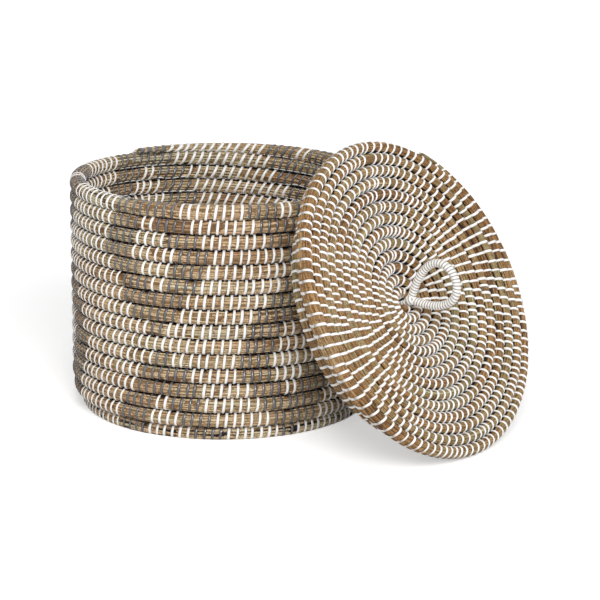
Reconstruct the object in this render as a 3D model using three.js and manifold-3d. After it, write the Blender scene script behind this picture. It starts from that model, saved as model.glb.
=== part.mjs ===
import * as THREE from 'three';
import { mergeVertices } from 'three/addons/utils/BufferGeometryUtils.js';
import Module from 'manifold-3d';

// A round basket of coiled seagrass with its flat lid taken off and leaned against its front right.
// Millimetres, +Z up. The basket stands on z = 0 and its axis is the Z axis.
// Every coil turns counter-clockwise seen from above. It steps over to its next row on one stretch
// of each turn, so the rows are level and round everywhere else.

// Sizes of the basket
const basketRows = 16;
const rowPitch = 18.4;
const rowGap = 0.6;
const wallCordWidth = 18.4;
const wallCentreRadius = 180.8;
const footInset = 6;
const footCut = 1.8;
const baseRowGap = 1.2;
const baseButtonRadius = 11;
const baseButtonEdge = 2;
const jointGap = 0.3;

// Where the basket's coil steps up, as shares of a turn, and where that starts
const climbStartDegrees = 20;
const climbTurnShare = 0.5;
const baseStepTurnShare = 0.75;
const baseStartTurnShare = 0.5;
const rimTailTurnShare = 0.3;

// Sizes of the lid
const lidOuterRadius = 199;
const lidRowPitch = 14.2;
const lidRowGap = 1;
const lidThickness = 21;
const lidDish = 29;
const lidDishPower = 1.3;
const lidStepStartDegrees = 16;
const lidStepTurnShare = 0.6;
const lidTailTurnShare = 0.36;

// Sizes of the collar, which is sewn under the lid and drops into the basket's mouth
const collarRows = 2;
const collarPitch = 17;
const collarRowGap = 0.6;
const collarCordWidth = 16;
const mouthClearance = 3.5;
const collarStepStartDegrees = -72;
const collarStepTurnShare = 0.4;
const collarTailTurnShare = 0.23;

// Sizes of the handle and of the knot that holds it
const handleHeight = 80;
const handleWidth = 54;
const handleThickness = 9;
const handleRootRadius = 7;
const shankRadius = 3.4;
const shankClearance = 0.4;
const shankReach = 0.2;
const knotRadius = 9;
const knotLength = 22;
const legRootAngle = 0.35;
const legOverlapAngle = 0.1;

// How the lid leans: it stands on the floor with its lowest edge and rests on the basket's rim
const lidTiltDegrees = 62.5;
const leanAzimuthDegrees = -36.8;
const seatGap = 0.3;
const rowsNearLid = 3;
const leanPrecision = 0.001;

// How closely points are set on the coils where gaps are measured
const gapCutsPerStep = 4;
const gapPointsPerSide = 6;
const lidCutsPerStep = 2;
const collarCutsPerStep = 16;
const facingPointsPerSide = 3;

// Fineness of the coils and of the round pieces
const stepsPerTurn = 20;
const innerTurns = 3;
const innerStepsPerTurn = 10;
const handleSides = 14;
const handleSteps = 20;
const roundSides = 20;

// Cross-sections of a sewn bundle, as shares of its half width and of its half height
const flatTopSectionShares = [[1, 0], [0.5, 1], [-0.5, 1], [-1, 0], [-0.5, -1], [0.5, -1]];
const ridgedSectionShares = [[1, 0.5], [0, 1], [-1, 0.5], [-1, -0.5], [0, -1], [1, -0.5]];
const tailNarrowingShare = 0.6;

// Sizes that follow from the ones above
const fullTurn = 2 * Math.PI;
const cordHeight = rowPitch - rowGap;
const baseCordWidth = rowPitch - baseRowGap;
const baseOuterRadius = wallCentreRadius - footInset;
const baseTurns = baseOuterRadius / rowPitch;
const firstRowHeight = cordHeight / 2 - footCut;
const rimTop = firstRowHeight + (basketRows - 1) * rowPitch + cordHeight / 2;
const lidCordWidth = lidRowPitch - lidRowGap;
const lidCentreRadius = lidOuterRadius - lidCordWidth / 2;
const lidTurns = lidCentreRadius / lidRowPitch;
const lidStartTurns = (shankRadius + shankClearance + lidCordWidth / 2) / lidRowPitch;
const collarCordHeight = collarPitch - collarRowGap;
const collarRadius = wallCentreRadius - (wallCordWidth + collarCordWidth) / 2 - mouthClearance;
const collarTop = -lidThickness / 2 - seatGap - lidSink(collarRadius - collarCordWidth / 4);
const lidMiddleHeight = -lidSink(lidStartTurns * lidRowPitch);
const shankTip = lidMiddleHeight - lidThickness / 2 - shankReach;
const handleRootHeight = lidMiddleHeight + lidThickness / 2 + seatGap + handleRootRadius;
const handleTop = lidMiddleHeight + lidThickness / 2 + handleHeight - handleThickness / 2;
const rowCorners = flatTopSectionShares.map(([acrossShare, upShare]) => {
  return [acrossShare * wallCordWidth / 2, upShare * cordHeight / 2];
});
const widestTeardropShare = 4 / Math.sqrt(27);
const teardropReach = (handleWidth - handleThickness) / 2 / widestTeardropShare;
const knotHeight = shankTip - seatGap - knotRadius;
const lidTilt = THREE.MathUtils.degToRad(lidTiltDegrees);
const leanAzimuth = THREE.MathUtils.degToRad(leanAzimuthDegrees);

const wasm = await Module();
wasm.setup();

// Steps to a next row that a coil has made after this many turns
function stepsMade(turns, stepTurnShare) {
  const whole = Math.floor(turns);
  return whole + THREE.MathUtils.smoothstep(turns - whole, 0, stepTurnShare);
}

// Radius of a flat spiral: it widens evenly near the middle and row by row near its edge
function spiralRadius(turns, lastTurns, pitch, stepTurnShare) {
  const rowByRow = lastTurns + stepsMade(turns - lastTurns, stepTurnShare);
  const edgeShare = THREE.MathUtils.clamp((turns - 1) / (lastTurns - 2), 0, 1);
  return pitch * THREE.MathUtils.lerp(turns, rowByRow, edgeShare);
}

// How far the lid is sunk at a distance from its centre: it is dished, and steepest in the middle
function lidSink(radius) {
  return lidDish * Math.max(0, 1 - radius / lidCentreRadius) ** lidDishPower;
}

// Base of the basket: its last turn is the row that the basket stands on
function baseStation(turns) {
  return {
    angle: THREE.MathUtils.degToRad(climbStartDegrees) + fullTurn * (turns - baseTurns),
    radius: spiralRadius(turns, baseTurns, rowPitch, baseStepTurnShare),
    height: firstRowHeight,
    width: baseCordWidth,
    thickness: cordHeight,
  };
}

// Wall of the basket: it goes on where the base ends, and its own end thins out in the rim
function wallStation(turns) {
  const rowsClimbed = stepsMade(turns, climbTurnShare);
  const thickness = Math.min(cordHeight, rowPitch * (basketRows - rowsClimbed) - rowGap);
  const insetLeft = footInset * (1 - Math.min(1, stepsMade(turns, baseStepTurnShare)));
  return {
    angle: THREE.MathUtils.degToRad(climbStartDegrees) + fullTurn * turns,
    radius: wallCentreRadius - insetLeft,
    height: Math.min(firstRowHeight + rowPitch * rowsClimbed, rimTop - thickness / 2),
    width: wallCordWidth * THREE.MathUtils.lerp(tailNarrowingShare, 1, thickness / cordHeight),
    thickness,
  };
}

// Lid: a dished spiral whose end thins out along the outermost row
function lidStation(turns) {
  const rowInside = spiralRadius(turns - 1, lidTurns, lidRowPitch, lidStepTurnShare);
  const innerEdge = rowInside + lidCordWidth / 2 + lidRowGap;
  const width = Math.min(lidCordWidth, lidOuterRadius - innerEdge);
  const fullRadius = spiralRadius(turns, lidTurns, lidRowPitch, lidStepTurnShare);
  const radius = Math.min(fullRadius, lidOuterRadius - width / 2);
  return {
    angle: THREE.MathUtils.degToRad(lidStepStartDegrees) + fullTurn * (turns - lidTurns),
    radius,
    height: -lidSink(radius),
    width,
    thickness: lidThickness * THREE.MathUtils.lerp(tailNarrowingShare, 1, width / lidCordWidth),
  };
}

// Collar: it thins out where it starts and where it ends
function collarStation(turns) {
  const rowsMade = stepsMade(turns, collarStepTurnShare);
  const startThickness = collarPitch * rowsMade - collarRowGap;
  const endThickness = collarPitch * (collarRows + 1 - rowsMade) - collarRowGap;
  const thickness = Math.min(collarCordHeight, startThickness, endThickness);
  const top = collarTop - collarPitch * Math.max(0, rowsMade - 1);
  const fullShare = thickness / collarCordHeight;
  return {
    angle: THREE.MathUtils.degToRad(collarStepStartDegrees) + fullTurn * turns,
    radius: collarRadius,
    height: top - thickness / 2,
    width: collarCordWidth * THREE.MathUtils.lerp(tailNarrowingShare, 1, fullShare),
    thickness,
  };
}

// Turns at which a coil has its rings: both ends, and whole steps counted from its origin
function ringTurns(first, last, origin, steps) {
  const turns = [first];
  const spare = 1 / (4 * steps);
  let step = Math.ceil((first + spare - origin) * steps);
  while (origin + step / steps < last - spare) {
    turns.push(origin + step / steps);
    step += 1;
  }
  turns.push(last);
  return turns;
}

// A flat spiral has fewer rings in its inner turns, at angles that its outer rings share
function spiralTurns(first, last, origin) {
  const outerTurns = Math.round((origin - innerTurns) * innerStepsPerTurn) / innerStepsPerTurn;
  const innerPart = ringTurns(first, origin - outerTurns, origin, innerStepsPerTurn);
  const outerPart = ringTurns(origin - outerTurns, last, origin, stepsPerTurn);
  return [...innerPart, ...outerPart.slice(1)];
}

// A ring lies in the upright plane through the coil's axis, and is cut flat at the floor
function ringAt(station, sectionShares, floor) {
  return sectionShares.map(([acrossShare, upShare]) => {
    const radius = station.radius + acrossShare * station.width / 2;
    const height = station.height + upShare * station.thickness / 2;
    const x = radius * Math.cos(station.angle);
    const y = radius * Math.sin(station.angle);
    return new THREE.Vector3(x, y, Math.max(height, floor));
  });
}

// A coil: the turns where its rings are, and the rings
function coil(turns, stationAt, sectionShares, floor = -Infinity) {
  return { turns, rings: turns.map((turn) => ringAt(stationAt(turn), sectionShares, floor)) };
}

// One closed tube through all rings, with a flat face at either end
function tubeGeometry(rings) {
  const sides = rings[0].length;
  const lastRing = (rings.length - 1) * sides;
  const indices = [];
  for (let ring = 0; ring < lastRing; ring += sides) {
    for (let side = 0; side < sides; side += 1) {
      const here = ring + side;
      const next = ring + (side + 1) % sides;
      indices.push(here, here + sides, next + sides, here, next + sides, next);
    }
  }
  for (let side = 1; side < sides - 1; side += 1) {
    indices.push(0, side, side + 1);
    indices.push(lastRing, lastRing + side + 1, lastRing + side);
  }
  const geometry = new THREE.BufferGeometry().setFromPoints(rings.flat());
  geometry.setIndex(indices);
  return geometry;
}

// Points spread over a coil's surface, in slices across its cord
function surfaceSlices(form, cutsPerStep, pointsPerSide) {
  const slices = [];
  for (let index = 0; index < form.rings.length - 1; index += 1) {
    for (let cut = 0; cut < cutsPerStep; cut += 1) {
      const share = cut / cutsPerStep;
      const turn = THREE.MathUtils.lerp(form.turns[index], form.turns[index + 1], share);
      const corners = form.rings[index].map((corner, side) => {
        return corner.clone().lerp(form.rings[index + 1][side], share);
      });
      const points = corners.flatMap((corner, side) => {
        const next = corners[(side + 1) % corners.length];
        return Array.from({ length: pointsPerSide }, (_, place) => {
          return corner.clone().lerp(next, place / pointsPerSide);
        });
      });
      slices.push({ turn, points });
    }
  }
  return slices;
}

// Least distance between points on a coil's neighbouring turns
function leastGapToSelf(form) {
  const slices = surfaceSlices(form, gapCutsPerStep, gapPointsPerSide);
  const reach = 1 / (gapCutsPerStep * stepsPerTurn);
  let least = Infinity;
  for (const slice of slices) {
    for (const other of slices.filter(({ turn }) => Math.abs(turn - slice.turn - 1) < reach)) {
      for (const point of slice.points) {
        for (const otherPoint of other.points) {
          least = Math.min(least, point.distanceTo(otherPoint));
        }
      }
    }
  }
  return least;
}

function reportGap(name, form) {
  console.log(`${name}: least gap to itself ${leastGapToSelf(form).toFixed(2)} mm`);
}

// The same closed mesh with its shared vertices merged and its empty triangles left out
function welded(geometry) {
  const plain = geometry.clone();
  plain.deleteAttribute('normal');
  plain.deleteAttribute('uv');
  const merged = mergeVertices(plain);
  const triangles = [];
  const index = merged.index.array;
  for (let corner = 0; corner < index.length; corner += 3) {
    const [a, b, c] = index.slice(corner, corner + 3);
    if (a !== b && b !== c && c !== a) {
      triangles.push(a, b, c);
    }
  }
  merged.setIndex(triangles);
  return merged;
}

function toSolid(geometry) {
  const closed = welded(geometry);
  return new wasm.Manifold(new wasm.Mesh({
    numProp: 3,
    vertProperties: closed.attributes.position.array,
    triVerts: new Uint32Array(closed.index.array),
  }));
}

function toGeometry(solid) {
  const mesh = solid.getMesh();
  const geometry = new THREE.BufferGeometry();
  geometry.setAttribute('position', new THREE.BufferAttribute(mesh.vertProperties, 3));
  geometry.setIndex(new THREE.BufferAttribute(mesh.triVerts, 1));
  return geometry;
}

// A lathe turns about its own Y axis, which is stood up along Z here
function uprightLathe(profile) {
  const points = profile.map(([radius, height]) => new THREE.Vector2(radius, height));
  return new THREE.LatheGeometry(points, roundSides).rotateX(Math.PI / 2);
}

function namedMesh(name, geometry, material) {
  geometry.computeVertexNormals();
  const mesh = new THREE.Mesh(geometry, material);
  mesh.name = name;
  return mesh;
}

function seagrass(color) {
  return new THREE.MeshStandardMaterial({ color, roughness: 0.8, metalness: 0 });
}

function whiteCord() {
  return new THREE.MeshStandardMaterial({ color: 0xf1efec, roughness: 0.45, metalness: 0 });
}

// The start of the base's bundle is bent tight and sewn into a small round button
function baseButton() {
  const top = firstRowHeight + cordHeight / 2;
  return uprightLathe([
    [0, 0],
    [baseButtonRadius - baseButtonEdge, 0],
    [baseButtonRadius, baseButtonEdge],
    [baseButtonRadius, top - baseButtonEdge],
    [baseButtonRadius - baseButtonEdge, top],
    [0, top],
  ]);
}

function baseCoil() {
  const turns = spiralTurns(baseStartTurnShare, baseTurns, baseTurns);
  const form = coil(turns, baseStation, flatTopSectionShares, 0);
  reportGap('base coil', form);
  const solid = toSolid(tubeGeometry(form.rings)).add(toSolid(baseButton()));
  return namedMesh('base_coil', toGeometry(solid), seagrass(0x97784f));
}

function wallCoil() {
  const start = jointGap / (fullTurn * baseOuterRadius);
  const turns = ringTurns(start, basketRows - 1 + rimTailTurnShare, 0, stepsPerTurn);
  const form = coil(turns, wallStation, flatTopSectionShares, 0);
  reportGap('wall coil', form);
  return namedMesh('wall_coil', tubeGeometry(form.rings), seagrass(0x9c7a4e));
}

function lidCoilForm() {
  const turns = spiralTurns(lidStartTurns, lidTurns + lidTailTurnShare, lidTurns);
  return coil(turns, lidStation, ridgedSectionShares);
}

function collarCoilForm() {
  const start = collarStepTurnShare - collarTailTurnShare;
  const turns = ringTurns(start, collarRows + collarTailTurnShare, 0, stepsPerTurn);
  return coil(turns, collarStation, flatTopSectionShares);
}

// Half of the handle's teardrop, from just past its top down into its root
class TeardropLeg extends THREE.Curve {
  constructor(side) {
    super();
    this.side = side;
  }

  getPoint(share, target = new THREE.Vector3()) {
    const angle = THREE.MathUtils.lerp(Math.PI + legOverlapAngle, legRootAngle, share);
    const out = teardropReach * Math.sin(angle) * Math.sin(angle / 2);
    const up = (handleTop - handleRootHeight) * (1 - Math.cos(angle)) / 2;
    return target.set(this.side * out, 0, handleRootHeight + up);
  }
}

function handleLeg(side) {
  const section = new THREE.Shape().absarc(0, 0, handleThickness / 2, 0, fullTurn);
  return new THREE.ExtrudeGeometry(section, {
    curveSegments: handleSides / 2,
    steps: handleSteps,
    extrudePath: new TeardropLeg(side),
  });
}

// Where both ends of the handle's cord meet, and the shank that they make through the lid
function handleRoot() {
  const neckAngle = -Math.acos(shankRadius / handleRootRadius);
  const profile = [[0, shankTip], [shankRadius, shankTip]];
  const arcSteps = handleSides / 2;
  for (let step = 0; step <= arcSteps; step += 1) {
    const angle = THREE.MathUtils.lerp(neckAngle, Math.PI / 2, step / arcSteps);
    const radius = step < arcSteps ? handleRootRadius * Math.cos(angle) : 0;
    profile.push([radius, handleRootHeight + handleRootRadius * Math.sin(angle)]);
  }
  return uprightLathe(profile);
}

function handleLoop() {
  const legs = toSolid(handleLeg(1)).add(toSolid(handleLeg(-1)));
  return namedMesh('handle_loop', toGeometry(legs.add(toSolid(handleRoot()))), whiteCord());
}

// The knot is round about the axis that the lid tilts on, so the lid turns freely over it
function handleKnot() {
  const profile = [];
  const arcSteps = roundSides / 2;
  for (let step = 0; step <= arcSteps; step += 1) {
    const angle = Math.PI * (step / arcSteps - 1 / 2);
    const radius = step > 0 && step < arcSteps ? knotRadius * Math.cos(angle) : 0;
    profile.push(new THREE.Vector2(radius, knotLength / 2 * Math.sin(angle)));
  }
  const mesh = namedMesh('handle_knot', welded(new THREE.LatheGeometry(profile, roundSides)), whiteCord());
  mesh.position.z = knotHeight;
  return mesh;
}

// Distance from a place in the wall's upright section to the outline of one row, less than zero inside
function distanceToRow(across, up) {
  let nearest = Infinity;
  let outside = false;
  rowCorners.forEach(([x, y], index) => {
    const [nextX, nextY] = rowCorners[(index + 1) % rowCorners.length];
    const [edgeX, edgeY] = [nextX - x, nextY - y];
    const [offsetX, offsetY] = [across - x, up - y];
    const projected = (offsetX * edgeX + offsetY * edgeY) / (edgeX * edgeX + edgeY * edgeY);
    const along = THREE.MathUtils.clamp(projected, 0, 1);
    nearest = Math.min(nearest, Math.hypot(offsetX - along * edgeX, offsetY - along * edgeY));
    outside = outside || edgeX * offsetY - edgeY * offsetX < 0;
  });
  return outside ? nearest : -nearest;
}

// Distance from a point to the wall's upper rows, which have a flat side for each step of the coil
function distanceToWall(point) {
  const stepAngle = fullTurn / stepsPerTurn;
  const angle = Math.atan2(point.y, point.x) - THREE.MathUtils.degToRad(climbStartDegrees);
  const fromSideMiddle = THREE.MathUtils.euclideanModulo(angle, stepAngle) - stepAngle / 2;
  const flatness = Math.cos(fromSideMiddle) / Math.cos(stepAngle / 2);
  const across = Math.hypot(point.x, point.y) * flatness - wallCentreRadius;
  let nearest = Infinity;
  for (let row = 0; row < rowsNearLid; row += 1) {
    const rowHeight = rimTop - cordHeight / 2 - row * rowPitch;
    nearest = Math.min(nearest, distanceToRow(across, point.z - rowHeight));
  }
  return nearest;
}

// The lid's turn from lying flat, when it is closed, to the way it leans
function leanMatrix(distance, height) {
  const place = new THREE.Vector3(distance * Math.cos(leanAzimuth), distance * Math.sin(leanAzimuth), height);
  const turn = new THREE.Quaternion().setFromEuler(new THREE.Euler(0, lidTilt, leanAzimuth, 'ZYX'));
  return new THREE.Matrix4().compose(place, turn, new THREE.Vector3(1, 1, 1));
}

// The side of the lid that faces the basket, as points
function facingPoints(form, cutsPerStep) {
  const points = surfaceSlices(form, cutsPerStep, facingPointsPerSide).flatMap((slice) => slice.points);
  return points.filter((point) => point.x < -Math.abs(point.y) && point.z < 0);
}

// How high the leaning lid's centre is, and how far it stays from the basket's axis when it is
// slid in until it almost touches the rim
function findLean(coilForm, collarForm) {
  const corners = [...coilForm.rings, ...collarForm.rings].flat();
  const lying = leanMatrix(0, 0);
  const height = -Math.min(...corners.map((corner) => corner.clone().applyMatrix4(lying).z));
  const points = [
    ...facingPoints(coilForm, lidCutsPerStep),
    ...facingPoints(collarForm, collarCutsPerStep),
  ];
  let distance = wallCentreRadius + 2 * lidOuterRadius;
  let spare = Infinity;
  while (spare > leanPrecision) {
    const lean = leanMatrix(distance, height);
    const gaps = points.map((point) => distanceToWall(point.clone().applyMatrix4(lean)));
    spare = Math.min(...gaps) - seatGap;
    distance -= spare;
  }
  return { distance, height };
}

const lidForm = lidCoilForm();
const collarForm = collarCoilForm();
reportGap('lid coil', lidForm);
reportGap('collar coil', collarForm);
const lean = findLean(lidForm, collarForm);
console.log(`lid leans with its centre ${lean.distance.toFixed(2)} mm out, ${lean.height.toFixed(2)} mm up`);

const lid = new THREE.Group();
lid.add(namedMesh('lid_coil', tubeGeometry(lidForm.rings), seagrass(0xb08c5d)));
lid.add(namedMesh('lid_collar_coil', tubeGeometry(collarForm.rings), seagrass(0x8c7148)));
lid.add(handleLoop());
lid.add(handleKnot());
lid.applyMatrix4(leanMatrix(lean.distance, lean.height));

const group = new THREE.Group();
group.add(baseCoil(), wallCoil(), lid);

export default group;
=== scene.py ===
"""Looks of a round coiled seagrass basket and its leaning lid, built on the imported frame.

Every size below is in millimetres unless its name says metres; meshes are made in metres.
"""

from __future__ import annotations

import logging
import math
from collections.abc import Callable, Sequence
from dataclasses import dataclass
from enum import Enum

import bmesh
import bpy
import numpy as np
from mathutils import Matrix, Vector


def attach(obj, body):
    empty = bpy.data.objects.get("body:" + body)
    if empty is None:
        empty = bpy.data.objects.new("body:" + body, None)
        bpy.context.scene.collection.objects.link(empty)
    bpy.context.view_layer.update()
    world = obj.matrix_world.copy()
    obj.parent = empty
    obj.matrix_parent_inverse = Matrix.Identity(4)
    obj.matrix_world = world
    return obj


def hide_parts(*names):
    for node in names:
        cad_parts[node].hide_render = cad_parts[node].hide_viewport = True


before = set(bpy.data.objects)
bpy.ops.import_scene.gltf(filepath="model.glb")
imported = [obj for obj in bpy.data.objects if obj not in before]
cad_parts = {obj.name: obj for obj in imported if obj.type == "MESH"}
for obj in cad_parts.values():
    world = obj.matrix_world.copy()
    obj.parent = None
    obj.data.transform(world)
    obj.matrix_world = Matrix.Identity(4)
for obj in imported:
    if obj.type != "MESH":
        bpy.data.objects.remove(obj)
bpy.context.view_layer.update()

LOG = logging.getLogger("basket")
METRES = 0.001
FULL_TURN = 2 * math.pi
# The stitches' azimuths are counted from the front of the basket, which faces -Y.
FRONT_DEGREES = 90.0
# How many points a lane of blades, a whole route and a short route are measured at.
LANE_POINTS = 400
LINE_POINTS = 4000
SHORT_LINE_POINTS = 800
# Every blade is mapped as on a circle of one radius, and cut from its own part of the pattern.
MAPPED_RADIUS = 100.0
PATTERN_STEP = (37.0, 11.0)
# A folded strip's section: where its four corners are across it, and how far each one is raised.
STRIP_ACROSS = np.array([-0.5, -0.24, 0.24, 0.5])
STRIP_RAISED = np.array([0.0, 1.0, 1.0, 0.0])
HUE = "hue"
Array = np.ndarray
Stops = tuple[tuple[float, str], ...]
Place = tuple[float, float, float]
Span = tuple[float, float]


class Body(Enum):
    """The bodies of the frame that pieces ride on."""

    BASKET = "basket"
    CARRIER = "carrier"
    LID = "lid"


class Slot(Enum):
    """The record's material slots."""

    BASKET_GRASS = "basket_seagrass"
    LID_GRASS = "lid_seagrass"
    WHITE = "white_wrapping"


class StripColour(Enum):
    """The two colours of the sewing strip, as they are numbered in the pattern."""

    WHITE = 0
    GREY = 1


class Rows(Enum):
    """How a bundle's rows lie, valued by the share of the way round it at which they touch."""

    STACKED = 0.0
    BESIDE = 0.25

    @property
    def towards_next(self) -> float:
        """Share of the way round that faces the next row: the top, or the outer side."""
        return 0.5 if self is Rows.STACKED else self.value


def linear(hex_colour: str) -> tuple[float, float, float, float]:
    """Turns an sRGB hex colour into the linear one that a socket takes.

    Args:
        hex_colour: Six hex digits, red, green and blue.

    Returns:
        Linear red, green, blue and an alpha of one.
    """
    shares = [int(hex_colour[i:i + 2], 16) / 255 for i in (0, 2, 4)]
    values = [s / 12.92 if s <= 0.04045 else ((s + 0.055) / 1.055) ** 2.4 for s in shares]
    return values[0], values[1], values[2], 1.0


def add_node(tree: bpy.types.NodeTree, kind: str, settings: dict | None = None,
             **links: object) -> bpy.types.Node:
    """Adds one node to a tree, with its settings, and fills its inputs.

    Args:
        tree: The node tree.
        kind: The node's class name.
        settings: Attributes of the node.
        **links: Inputs by name, with _ for a space; a number in the name picks an input by
            its place (in0, in1). A value is a socket to link or a constant to set.

    Returns:
        The new node.
    """
    node = tree.nodes.new(kind)
    for name, value in (settings or {}).items():
        setattr(node, name, value)
    for name, value in links.items():
        numbered = name.startswith("in") and name[2:].isdigit()
        key: int | str = int(name[2:]) if numbered else name.replace("_", " ")
        if isinstance(value, bpy.types.NodeSocket):
            tree.links.new(value, node.inputs[key])
        else:
            node.inputs[key].default_value = value
    return node


def fill_ramp(ramp: bpy.types.ColorRamp, stops: Stops) -> None:
    """Gives a colour ramp its stops.

    Args:
        ramp: The ramp of a colour ramp node.
        stops: Places from 0 to 1 with their hex colours, in order.
    """
    while len(ramp.elements) > len(stops):
        ramp.elements.remove(ramp.elements[-1])
    while len(ramp.elements) < len(stops):
        ramp.elements.new(1.0)
    for element, (place, colour) in zip(ramp.elements, stops):
        element.position = place
        element.color = linear(colour)


def new_material(name: str, **inputs: object) -> tuple[bpy.types.Material,
                                                       bpy.types.NodeTree, bpy.types.Node]:
    """Makes a material with one Principled shader.

    Args:
        name: The material's name.
        **inputs: The shader's own inputs, as in add_node().

    Returns:
        The material, its node tree and its shader.
    """
    material = bpy.data.materials.new(name)
    material.use_nodes = True
    tree = material.node_tree
    tree.nodes.clear()
    shader = add_node(tree, "ShaderNodeBsdfPrincipled", None, **inputs)
    add_node(tree, "ShaderNodeOutputMaterial", None, Surface=shader.outputs["BSDF"])
    return material, tree, shader


@dataclass(frozen=True)
class SeagrassFinish:
    """Dried seagrass: matt folded blades, each of its own hue, with fibres and fine wrinkles."""

    name: str
    hues: Stops
    fibres: Stops = ((0.3, "9A8F80"), (0.42, "DDD6CC"), (0.54, "FFFFFF"))
    wrinkles: Stops = ((0.3, "B4ABA0"), (0.5, "FFFFFF"))
    # Real fibres are about 0.3 mm wide and real wrinkles 0.5 mm, too fine to show from the
    # camera, so both are drawn three times as coarse.
    fibre_width: float = 0.9
    fibre_run: float = 30.0
    wrinkle_width: float = 1.5
    wrinkle_run: float = 6.0
    unevenness: float = 0.6
    roughness: float = 0.6
    gloss: float = 0.3
    relief: float = 0.25
    fibre_height: float = 0.4

    def material(self) -> bpy.types.Material:
        """Builds the finish; the UV map is in metres, along the bundle and round it.

        Returns:
            The material.
        """
        material, tree, shader = new_material(self.name, Roughness=self.roughness,
                                              Specular_IOR_Level=self.gloss)
        uv = add_node(tree, "ShaderNodeUVMap", {"uv_map": "UVMap"}).outputs["UV"]
        hue = add_node(tree, "ShaderNodeAttribute", {"attribute_name": HUE}).outputs["Fac"]
        per_metre = 1 / METRES
        lengthwise = (per_metre / self.fibre_run, per_metre / self.fibre_width, 1.0)
        crosswise = (per_metre / self.wrinkle_width, per_metre / self.wrinkle_run, 1.0)
        fibres, wrinkles = (
            add_node(tree, "ShaderNodeTexNoise", {"noise_dimensions": "2D"},
                     Vector=add_node(tree, "ShaderNodeMapping", None, Vector=uv,
                                     Scale=scale).outputs["Vector"],
                     Scale=1.0, Detail=2.0, Roughness=self.unevenness).outputs["Fac"]
            for scale in (lengthwise, crosswise))
        hue_ramp = add_node(tree, "ShaderNodeValToRGB", None, Fac=hue)
        fill_ramp(hue_ramp.color_ramp, self.hues)
        tinted = hue_ramp.outputs["Color"]
        for noise, stops in ((fibres, self.fibres), (wrinkles, self.wrinkles)):
            ramp = add_node(tree, "ShaderNodeValToRGB", None, Fac=noise)
            fill_ramp(ramp.color_ramp, stops)
            tinted = add_node(tree, "ShaderNodeMix",
                              {"data_type": "RGBA", "blend_type": "MULTIPLY"},
                              in0=1.0, in6=tinted, in7=ramp.outputs["Color"]).outputs[2]
        tree.links.new(tinted, shader.inputs["Base Color"])
        bump = add_node(tree, "ShaderNodeBump", None, Strength=self.relief,
                        Distance=self.fibre_height * METRES, Height=fibres)
        tree.links.new(bump.outputs["Normal"], shader.inputs["Normal"])
        return material


@dataclass(frozen=True)
class StripFinish:
    """Polypropylene strip, slit from film and folded: satin, with fine folds along it and painted
    shade at each stitch's ends.
    """

    name: str
    pale: str
    deep: str
    # Colour of the painted shade where a stitch dives into the grass, and in every groove of a
    # wrapping.
    ends: str
    roughness: float
    end_share: float = 0.16
    deep_place: float = 0.8
    gloss: float = 0.5
    ior: float = 1.49
    # A stitch takes about 60 mm of strip, 7.2 mm in girth. Its real folds are about 0.3 mm wide,
    # too fine to show from the camera, so they are drawn 0.8 mm wide.
    length: float = 60.0
    girth: float = 7.2
    fold_run: float = 20.0
    fold_width: float = 0.8
    relief: float = 0.35
    fold_height: float = 0.2

    def material(self) -> bpy.types.Material:
        """Builds the finish; whole numbers in the UV map's first value count the stitches.

        Returns:
            The material.
        """
        material, tree, shader = new_material(self.name, Roughness=self.roughness, IOR=self.ior,
                                              Specular_IOR_Level=self.gloss)
        uv = add_node(tree, "ShaderNodeUVMap", {"uv_map": "UVMap"}).outputs["UV"]
        parts = add_node(tree, "ShaderNodeSeparateXYZ", None, Vector=uv)
        stitch = add_node(tree, "ShaderNodeMath", {"operation": "FLOOR"}, in0=parts.outputs["X"])
        chance = add_node(tree, "ShaderNodeTexWhiteNoise", {"noise_dimensions": "1D"},
                          W=stitch.outputs[0])
        scaled = add_node(tree, "ShaderNodeMapping", None, Vector=uv,
                          Scale=(self.length / self.fold_run, self.girth / self.fold_width, 1.0))
        folds = add_node(tree, "ShaderNodeTexNoise", {"noise_dimensions": "2D"},
                         Vector=scaled.outputs["Vector"], Scale=1.0, Detail=2.0)
        mixed = add_node(tree, "ShaderNodeMath", {"operation": "MULTIPLY"},
                         in0=chance.outputs["Value"], in1=folds.outputs["Fac"])
        ramp = add_node(tree, "ShaderNodeValToRGB", None, Fac=mixed.outputs[0])
        fill_ramp(ramp.color_ramp, ((0.0, self.pale), (self.deep_place, self.deep)))
        # Painted shade: the colour darkens towards both ends of each stitch, and into every groove
        # of a wrapping.
        to_end = add_node(tree, "ShaderNodeMath", {"operation": "PINGPONG"},
                          in0=parts.outputs["X"], in1=0.5)
        end_shade_ramp = add_node(tree, "ShaderNodeValToRGB", None, Fac=to_end.outputs[0])
        fill_ramp(end_shade_ramp.color_ramp, ((0.0, self.ends), (self.end_share, "FFFFFF")))
        shaded = add_node(tree, "ShaderNodeMix", {"data_type": "RGBA", "blend_type": "MULTIPLY"},
                          in0=1.0, in6=ramp.outputs["Color"], in7=end_shade_ramp.outputs["Color"])
        tree.links.new(shaded.outputs[2], shader.inputs["Base Color"])
        bump = add_node(tree, "ShaderNodeBump", None, Strength=self.relief,
                        Distance=self.fold_height * METRES, Height=folds.outputs["Fac"])
        tree.links.new(bump.outputs["Normal"], shader.inputs["Normal"])
        return material


# Seagrass leaves, cut, dried in the sun and folded: matt straw and olive, each blade a shade of
# its own, with hair-thin fibres along it and shallow creases across it.
WALL_GRASS = SeagrassFinish("dried seagrass blades", (
    (0.0, "8F7157"), (0.2, "BA9670"), (0.4, "D4B791"), (0.55, "D9C5A1"),
    (0.72, "C3B696"), (0.86, "DBCFAD"), (1.0, "EDE5CC")))
# The same leaves from an older lot, dried browner: the lid looks warmer than the basket.
LID_GRASS = SeagrassFinish("browner seagrass blades", (
    (0.0, "6C4B2E"), (0.2, "976F44"), (0.4, "B28B5D"), (0.55, "B49A70"),
    (0.72, "978C65"), (0.86, "BAA97C"), (1.0, "D8CDA5")))
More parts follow.
